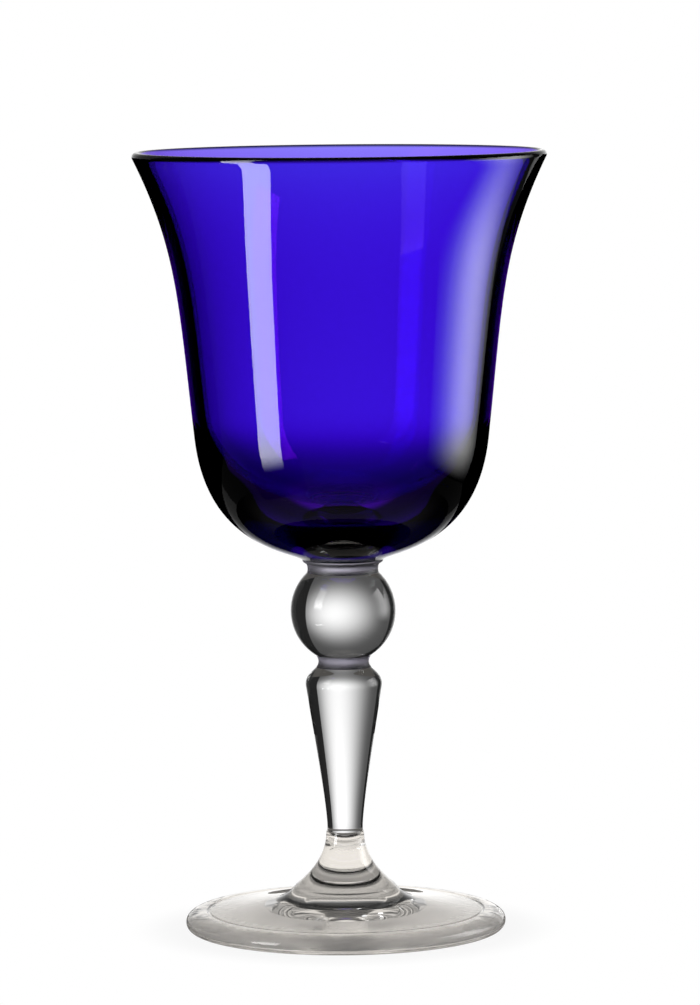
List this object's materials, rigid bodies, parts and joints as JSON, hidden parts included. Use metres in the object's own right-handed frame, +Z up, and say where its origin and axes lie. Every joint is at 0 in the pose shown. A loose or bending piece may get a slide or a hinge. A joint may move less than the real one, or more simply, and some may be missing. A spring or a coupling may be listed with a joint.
{
  "type": "goblet",
  "caption": "Stemmed drinking goblet with a bell-shaped cobalt glass bowl, clear ball knop, baluster stem and disc foot.",
  "frame": {"origin": "on the goblet's axis, at table level under the foot", "axes": "+Z up along the axis from the foot to the open mouth; the goblet is round about +Z, so +X and +Y are free"},
  "size_m": [0.094, 0.094, 0.178],
  "materials": {
    "clear_glass": "fire-polished, colourless, with a few seeds",
    "cobalt_glass": "fire-polished, coloured right through"
  },
  "bodies": {
    "root": {"foot_disc": "clear_glass", "foot_hub": "clear_glass", "baluster_stem": "clear_glass", "knop_collar": "clear_glass", "ball_knop": "clear_glass", "bowl_collar": "clear_glass", "bowl": "cobalt_glass"}
  },
  "joints": []
}
